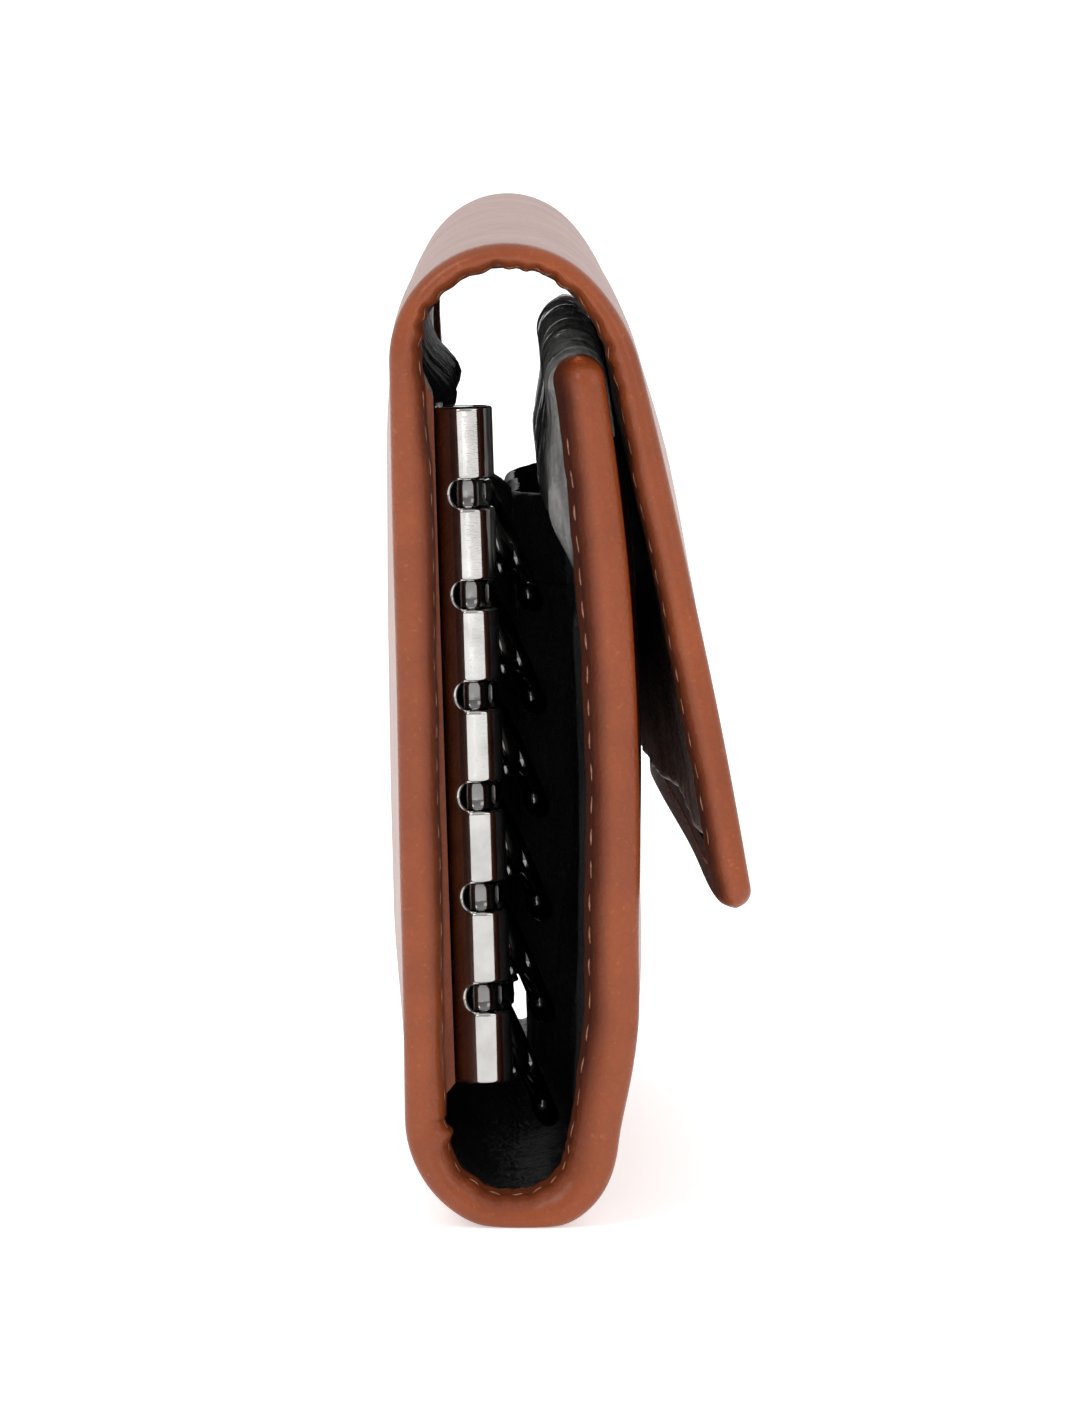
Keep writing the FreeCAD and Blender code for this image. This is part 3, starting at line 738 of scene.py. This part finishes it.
# %% Lining of bottom and front, rolled over the edge
roll_turn = np.radians(np.linspace(0, 180, 25))[1:-1]
profile_s = np.concatenate([np.linspace(0, 24, 60), np.linspace(24.5, under.end, 92), np.full(23, under.end),
                            under.end - np.linspace(0, 3.6, 10)])[:, None]
profile_turn = np.concatenate([np.zeros(152), roll_turn, np.full(10, np.pi)])[:, None]
y = lining_y[None]
puffed = under.thick(profile_s) - 0.25 + front_puff(profile_s, y)
roll_middle = under.thick(under.end) / 2
inner_radius = under.thick(under.end) - 0.25 + front_puff(under.end, y) - roll_middle
roll_radius = 1.5 + (inner_radius - 1.5) * ((1 + np.cos(profile_turn)) / 2) ** 0.9
roll_creases = 0.30 * cross_creases(y + 0.3 * profile_turn) + 0.10 * crumple(profile_turn * 2, 1.5 * y)
roll_radius = roll_radius + roll_creases * np.sin(profile_turn) * hill(y, -48, 48, 3)
on_roll = profile_turn > 0
line_s = profile_s + np.where(on_roll, roll_radius * np.sin(profile_turn), 0)
line_depth = np.where(on_roll, roll_middle + roll_radius * np.cos(profile_turn), puffed)
skin_half = 0.28 * np.clip(lining_rise, 0.15, 1)[None]
step_s, step_depth = skin_half * np.sin(profile_turn), skin_half * np.cos(profile_turn)
lower, upper = (under.place(line_s + hand * step_s, y, line_depth + hand * step_depth) for hand in (-1, 1))
# Painted sheen: the lining turns grey over its roll and the upper front, for the light that falls on it there.
painted_sheen_zone = np.tile((0.6 * ease((profile_s - 57) / 8) + 0.4 * on_roll + 0 * y).ravel(), 2)
front_lining = make_piece("bottom_and_front_lining", two_skins(lower, upper), black, painted_sheen_zone)
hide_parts("bottom_fold_lining", "front_panel_lining")
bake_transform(front_lining)

# %% [markdown]
# Two slip pockets of the same black leather lie on the front panel's inner side, one behind the other. They
# are sewn in at both ends and below, and sag open towards the back panel in the middle, with a turned lip
# along each mouth. Near the rail they stay flat, because the hooks need that room.


# %% Slip pockets
lip_steps = np.array([2.0, 1.6, 1.3, 1.0, 0.7, 0.4, 0.2, 0.06, 0.0])


def pocket_form(first, last, base, belly):
    """A layer from one length to another, base above the lining's face. The belly swells away from the hooks,
    the lip at the mouth is a small round bead, and the lower edge sinks into the lining."""
    rows = np.concatenate([np.linspace(first, last - 2.4, 44), last - lip_steps])
    s, y = rows[:, None], lining_y[None]
    wave = 1 + 0.10 * np.sin(0.62 * s + 0.7) + 0.05 * np.sin(0.31 * s + 0.21 * y)
    swell = belly * wave * ease((s - first) / 7) * (1 - 0.2 * ease((s - last + 12) / 11))
    lip = 0.22 * bell(s, last - 0.7, 0.5) * hill(y, -14, 44, 4)
    creases = (0.05 + 0.11 * hill(y, -8, 44, 6)) * crumple(0.9 * s + first, 0.8 * y + first)
    rise = lining_rise[None] * ease((s - first) / 1.2 + 0.02) * rounded((last - s) / 0.35)
    pressed = 0.25 + 0.75 * ease((lining_half - np.abs(y)) / 5)
    face = under.thick(s) + base * pressed + swell * hill(y, 10, 38, 16) + creases * hill(y, -46, 46, 4)
    low = face - 0.02 * rise
    high = face + (0.34 * pressed + lip) * rise
    return two_skins(under.place(s, y, low), under.place(s, y, high))


for name, first, last, base, belly in (("slip_pocket_back", 36.0, 64.2, 0.04, 4.6),
                                       ("slip_pocket_front", 22.5, 57.6, 0.38, 5.4)):
    pocket = make_piece(name, pocket_form(first, last, base, belly), black)
    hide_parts("front_slip_pocket")
    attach(pocket, "front")

# %% [markdown]
# Stiff boards and magnet discs are shut in between leather and lining. They never show, but they follow the
# bowed leather, so that nothing pokes through it.


# %% Boards and magnets
def board_form(strip, first, last):
    """A flat layer from one length to another, between two depths."""
    s, y = np.linspace(first, last, 30)[:, None], np.linspace(-50.7, 50.7, 40)[None]
    return two_skins(*(strip.place(s, y, depth + 0 * s) for depth in (1.26, 1.88)))


def disc_form(strip, centre, y_centre):
    """A flat round disc in strip coordinates: rings from the middle out, over the edge and back in."""
    radius = np.array([0.5, 4.0, 4.8, 5.0, 5.0, 4.8, 4.0, 0.5])[:, None]
    depth = np.array([1.92, 1.92, 1.92, 1.915, 1.905, 1.90, 1.90, 1.90])[:, None]
    angle = turns(32)[None]
    s, y = centre + radius * np.cos(angle), y_centre + radius * np.sin(angle)
    return tube(strip.place(s, y, depth + 0 * angle))


flap_start, front_start = over.starts[3], under.starts[2]
for name, strip, first, last, node, body in (
        ("back_stiffener", over, 0.3, 46.0, "back_panel_board", "back"),
        ("front_stiffener", under, front_start + 0.3, under.end - 5.3, "front_panel_board", "front"),
        ("flap_stiffener", over, flap_start + 2.2, over.end - 9.0, "flap_board", "flap")):
    stiffener = make_piece(name, board_form(strip, first, last), board)
    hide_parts(node)
    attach(stiffener, body)
for name, strip, centre, node, body in (
        ("front_magnet_discs", under, front_start + 0.46 * front_run, "front_panel_magnets", "front"),
        ("flap_magnet_discs", over, flap_start + 0.62 * flap_run - 1.5, "flap_magnets", "flap")):
    pair = together([disc_form(strip, centre, side * 28.0) for side in (-1, 1)])
    discs = make_piece(name, pair, magnet_plating)
    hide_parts(node)
    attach(discs, body)

# %% [markdown]
# A tab of the same tan leather lies under the key rail, from the hem inwards. The rail's rolled edge mirrors
# it, which is where the brown in its left flank comes from. The whole tab carries painted shade, darker for
# the shade between the tan wall and the rail.

# %% Leather tab under the rail
# Painted shade: the tab's mark darkens the whole tab, for the shade between the tan wall and the rail.
tab_foot, tab_head, tab_side, tab_painted_shade = 0.8, 50.0, -40.6, 0.35
tab_s, tab_y = np.linspace(tab_foot, tab_head, 40)[:, None], np.linspace(-51.3, tab_side, 16)[None]
tab_edge = np.minimum(np.minimum(tab_s - tab_foot, tab_head - tab_s), tab_side - tab_y)
tab_high = 0.84 - 0.0105 * (tab_s - (tab_foot + tab_head) / 2)
tab_top = 2.36 + tab_high * rounded(tab_edge / 0.4)
tab_form = two_skins(over.place(tab_s, tab_y, 2.3 + 0 * tab_edge), over.place(tab_s, tab_y, tab_top))
tab = make_piece("rail_leather_tab", tab_form, tan, np.full(len(tab_form[0]), tab_painted_shade))
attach(tab, "back")

# %% [markdown]
# The seam round the hems is a row of short lockstitches. Each is a small capsule of thread that dips into the
# leather at its ends. All of them are worked out at once: stitches, rings along a stitch and points round it
# are three axes of one array, on the strip's own coordinates, so that the row follows every bend.


# %% Sewn rows
stitch_pitch, stitch_half, stitch_radius = 2.25, 0.84, 0.19
row_inset = 2.0


def stitch_row(strip, first, last, row, along_y=False):
    """Capsules along the strip, or along y; their radius and height fall off towards both ends."""
    centres = np.arange(first, last, stitch_pitch)[:, None, None]
    share, angle = np.linspace(-1, 1, 7)[None, :, None], turns(6)[None, None]
    radius = stitch_radius * np.sqrt(1 - 0.90 * share ** 4)
    along = centres + stitch_half * share + 0 * angle
    side = row + radius * np.cos(angle) + 0.07 * share
    s, y = (side, along) if along_y else (along, side)
    lift = 0.08 * (1 - share ** 2) - 0.17
    depth = strip.hem(s, y if along_y else row) + lift + radius * np.sin(angle)
    return [tube(rings) for rings in strip.place(s, y, depth)]


end_row = half_length - row_inset
rows_over = [form for row in (-end_row, end_row) for form in stitch_row(over, 1.5, over.end - 2.5, row)]
rows_over += stitch_row(over, -51.0, 51.5, over.end - row_inset, True)
rows_under = [form for row in (-end_row, end_row) for form in stitch_row(under, 0.6, under.end - 2.0, row)]
seam_over = make_piece("seam_back_top_flap", together(rows_over), thread)
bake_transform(seam_over)
seam_under = make_piece("seam_bottom_front", together(rows_under), thread)
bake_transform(seam_under)
print("stitches", len(rows_over) + len(rows_under))

# %% [markdown]
# Rail and hooks are turned, bent and pressed metal, so three helpers make all of their forms: a profile
# turned round an axis, a section that closes on itself, and a rectangle with rounded corners, because no edge
# of plated steel is sharp.


# %% Metal forms
def unit(vector):
    return vector / np.linalg.norm(vector)


def rounded_box(low, high, radius):
    """Points round a rectangle between two corners, each corner a quarter circle."""
    steps = 5
    turn = np.linspace(0, np.pi / 2, steps)
    turn = np.concatenate([turn, turn + np.pi / 2, turn + np.pi, turn - np.pi / 2])
    (left, bottom), (right, top) = np.add(low, radius), np.subtract(high, radius)
    centres = np.repeat([[right, top], [left, top], [left, bottom], [right, bottom]], steps, axis=0)
    return centres + radius * np.stack([np.cos(turn), np.sin(turn)], -1)


def turned(profile, base, axis, columns=36):
    """Pairs of radius and height, turned round an axis through a base point into one ring each."""
    side = unit(np.cross(axis, [0.31, 0.52, 0.8]))
    angle = turns(columns)[None, :, None]
    radius, height = np.array(profile, float).T[:, :, None, None]
    return base + axis * height + radius * (np.cos(angle) * side + np.sin(angle) * np.cross(axis, side))


def looped(rings):
    """A ring-shaped form: its rows end where they began, and its columns close too."""
    rings = np.concatenate([rings, rings[:1]])
    return rings.reshape(-1, 3), grid_faces(*rings.shape[:2], True)


# %% [markdown]
# The key rail is a plated steel strip whose front edge is rolled into a tube. Six slots cut the tube into
# seven knuckles, and behind each slot a part of the rolled wall stays and ends in a rounded cut. An axle runs
# through the tube, and two rivets hold the plate to the back panel. The hooks' joints give its middle and its
# direction.

# %% Key rail
hook_names = ["hook_%d" % number for number in range(1, 7)]
pivots = np.array([joints[name + "_swing"]["pos_m"] for name in hook_names]) / mm
axle_middle = pivots.mean(0)
rail_up = -np.array(joints["hook_1_swing"]["axis"])
rail_deep = np.array([0.0, 1.0, 0.0])
rail_out = np.cross(rail_deep, rail_up)
pitch = np.linalg.norm(pivots[0] - pivots[1])
slot_width = 1.98
knuckle_half = (pitch - slot_width) / 2
rail_half = 3 * pitch + knuckle_half
roll_outer, roll_inner, plate_deep = 1.95, 1.45, 8.0


def on_rail(out, deep, up):
    """A point of the rail from three coordinates, each a number or an array."""
    out, deep, up = (np.asarray(value, float)[..., None] for value in (out, deep, up))
    return axle_middle + out * rail_out + deep * rail_deep + up * rail_up


def slot_wall(height):
    """The rolled wall behind a slot; its rounded edge, 50 degrees round, curves out to the knuckles."""
    rise = np.linspace(-1, 1, 25)[:, None] * (slot_width / 2 + 0.1)
    bend = 1 - np.sqrt(1 - np.clip(2 * rise / slot_width, -1, 1) ** 2)
    edge = 0.9 + 0.1 * np.sin(np.radians(np.linspace(12, 90, 8)))
    share = np.concatenate([np.linspace(0, 0.9, 16), edge])[None]
    angle = np.radians(-60 + (110 + 36 * bend) * share)
    half = 0.23 * np.sqrt(np.clip(1 - (np.clip(share - 0.9, 0, None) / 0.1) ** 2, 0.001, 1))
    middle = (roll_outer + roll_inner) / 2
    skins = [on_rail(-radius * np.cos(angle), -radius * np.sin(angle), height + rise + 0 * angle)
             for radius in (middle + half, middle - half)]
    return two_skins(*skins)


def rail_sheet():
    """The flat plate behind the roll, with the corners of its far edge rounded."""
    deep, share = np.linspace(0.5, plate_deep, 41)[:, None], np.linspace(-1, 1, 61)[None]
    corner = 1.0
    past = np.clip(deep - plate_deep + corner, 0, corner)
    height = share * (rail_half - corner + np.sqrt(corner ** 2 - past ** 2))
    return two_skins(*(on_rail(out + 0 * height, deep + 0 * height, height)
                       for out in (-roll_inner, 0.05 - roll_outer)))


flat_end = knuckle_half - 0.28
wall_profile = np.concatenate([rounded_box((roll_inner, -knuckle_half), (roll_outer, knuckle_half), 0.22),
                               [(roll_outer, -flat_end), (roll_outer, flat_end)]])
knuckles = [looped(turned(wall_profile, on_rail(0, 0, (3 - index) * pitch), rail_up, 64))
            for index in range(7)]
walls = [slot_wall((2.5 - index) * pitch) for index in range(6)]
rail_form = together(knuckles + walls + [rail_sheet()])
axle_end = [(0.8, rail_half - 0.1), (0.7, rail_half), (0.05, rail_half)]
axle_profile = [(radius, -height) for radius, height in axle_end[::-1]] + axle_end
axle_form = tube(turned(axle_profile, axle_middle, rail_up))
head_profile = [(0.03, 0.5), (0.5, 0.49), (0.95, 0.43), (1.28, 0.30), (1.45, 0.14), (1.5, 0.0), (0.03, 0.0)]
heads = [tube(turned(head_profile, on_rail(-roll_inner, 4.5, height), rail_out))
         for height in (-2 * pitch, 2 * pitch)]
for name, form, node in (("rolled_key_rail", rail_form, "rail_plate"),
                         ("rail_axle_rod", axle_form, "rail_axle"),
                         ("rail_rivet_heads", together(heads), "rail_rivets")):
    piece = make_piece(name, form, rail_chrome)
    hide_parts(node)
    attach(piece, "back")

# %% [markdown]
# Each snap hook has three moving pieces: a stirrup that turns on the axle, a wire loop that swivels in the
# stirrup on a ball, and a gate that is pinned between the cheeks of the loop. One drawing in the hook's own
# flat coordinates serves all six: the frame's joints say where each pivot and ball is and how the hook lies.


# %% Link of a hook
def link_form(pivot, ball, up):
    """An eye like a small spool round the axle, two flat arms, and a washer for the loop's shank."""
    along = unit(ball - pivot)
    side = np.cross(along, up)
    rise = np.linspace(-0.85, 0.85, 13)
    waist = np.stack([1.12 + 0.17 * (rise / 0.85) ** 4, rise], -1)
    spool = np.concatenate([waist, [(1.24, 0.88), (0.95, 0.88)], [(0.95, -0.88), (1.24, -0.88)]])
    forms = [looped(turned(spool, pivot, up, 40))]
    section = rounded_box((-0.2, -0.72), (0.2, 0.72), 0.14)
    reach = np.array([0.75, 1.2, 2.0, 3.0, 3.6, 3.95, 4.08])[:, None, None]
    taper = np.array([0.80, 0.95, 1.0, 1.0, 0.98, 0.90, 0.75])[:, None, None]
    for hand in (-1, 1):
        wide, high = section[None, :, :1], section[None, :, 1:]
        forms.append(tube(pivot + reach * along + (hand * 1.08 + wide * taper) * side + high * taper * up))
    washer = rounded_box((0.45, 3.74), (1.18, 4.16), 0.1)
    return together(forms + [looped(turned(washer, pivot, along, 32))])


# %% Loop and gate of a hook
wire_radius, wire_steps, bend_radius, straight = 0.8, 345, 4.0, 13.5
base_centre, nose_length = 7.3, 3.5
nose = np.array([base_centre + straight - nose_length, bend_radius])
pin_turn = math.radians(100)
gate_pin = np.array([base_centre + bend_radius * math.cos(pin_turn), bend_radius * math.sin(pin_turn)])
pin_middle, pin_axis = np.append(gate_pin, 0.0), np.array([0, 0, 1.0])
gate_tip = np.array([nose[0] + 1.0, 2.5])


def wire_rings(path, way, radius):
    """Round sections of a bent wire in a hook's own coordinates: along, width and normal."""
    angle, way, radius = turns(18)[None], way[:, None], radius[:, None]
    sideways = radius * np.cos(angle)
    return np.stack([path[:, :1] - sideways * np.sin(way), path[:, 1:] + sideways * np.cos(way),
                     radius * np.sin(angle)], -1)


def loop_form():
    """Ball, shank, ribbed collar, wire loop with a knurled, rounded nose, and the fork's two cheeks."""
    swell = np.radians(np.linspace(-80, 80, 15))
    ball = 0.8 * np.stack([np.cos(swell), np.sin(swell)], -1)
    rib = np.linspace(1.75, 2.75, 21)
    collar = np.stack([0.80 + 0.10 * np.sin(np.pi * (rib - 1.75) * 4) ** 2, rib], -1)
    neck, shoulder = [(0.35, 0.85), (0.35, 1.70), (0.6, 1.72)], [(0.6, 2.80), (0.05, 3.2)]
    stem = np.concatenate([ball, neck, collar, shoulder])
    forms = [tube(turned(stem, np.zeros(3), np.array([1.0, 0, 0]), 28))]
    runs = [(nose_length, 0), arc(bend_radius, -180), (straight, 0), arc(bend_radius, -170)]
    line, path, way = bent_line(nose, 0.0, runs, wire_steps)[1:]
    tip = np.sqrt(1 - (1 - np.clip(line / 0.7, 0, 1)) ** 2 * 0.98)
    knurl = 0.09 * np.abs(np.sin(np.pi * line / 0.62)) * hill(line, 0.8, 3.2, 0.3)
    forms.append(tube(wire_rings(path, way, (wire_radius - 0.06) * tip + knurl)))
    cheek = rounded_box((0.02, 0.42), (1.0, 0.85), 0.12)
    forms += [looped(turned(cheek, pin_middle, hand * pin_axis, 28)) for hand in (-1, 1)]
    return together(forms)


def gate_form():
    """A pressed bar from its eye to a rounded tip under the nose, and the pin through the eye."""
    way = unit(gate_tip - gate_pin)
    length = np.linalg.norm(gate_tip - gate_pin)
    share = np.concatenate([np.linspace(-0.66, 0.4, 7), np.linspace(0.9, length - 0.3, 24),
                            length + np.array([0.1, 0.3, 0.42])])
    eye = np.sqrt(np.clip(0.75 ** 2 - share ** 2, 0, None))
    tip = 0.42 * np.sqrt(np.clip(1 - ((share - length) / 0.45) ** 2, 0, 1))
    half = np.where(share < 0.5, eye, np.where(share > length, tip, 0.42))[:, None, None]
    section = rounded_box((-1, -1), (1, 1), 0.4)[None]
    middle = gate_pin + share[:, None] * way
    side = np.array([-way[1], way[0]])
    flat = middle[:, None] + section[..., :1] * half * side
    bar = np.concatenate([flat, np.broadcast_to(0.29 * section[..., 1:], flat.shape[:2] + (1,))], -1)
    pin = [(0.03, -0.9), (0.3, -0.9), (0.35, -0.84), (0.35, 0.84), (0.3, 0.9), (0.03, 0.9)]
    return together([tube(bar), tube(turned(pin, pin_middle, pin_axis, 20))])


# %% Six hooks
drawn_loop, drawn_gate = loop_form(), gate_form()
for name, pivot in zip(hook_names, pivots):
    swivel, opening = joints[name + "_swivel"], joints[name + "_gate_open"]
    ball, along = np.array(swivel["pos_m"]) / mm, np.array(swivel["axis"])
    normal = -np.array(opening["axis"])
    axes = np.stack([along, np.cross(normal, along), normal])
    pieces = {
        "link": link_form(pivot, ball, rail_up),
        "loop": (ball + drawn_loop[0] @ axes, drawn_loop[1]),
        "gate": (ball + drawn_gate[0] @ axes, drawn_gate[1]),
    }
    for part, form in pieces.items():
        piece = make_piece(name + "_plated_" + part, form, shaded_hook_chrome)
        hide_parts(name + "_" + part)
        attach(piece, name + "_" + part)
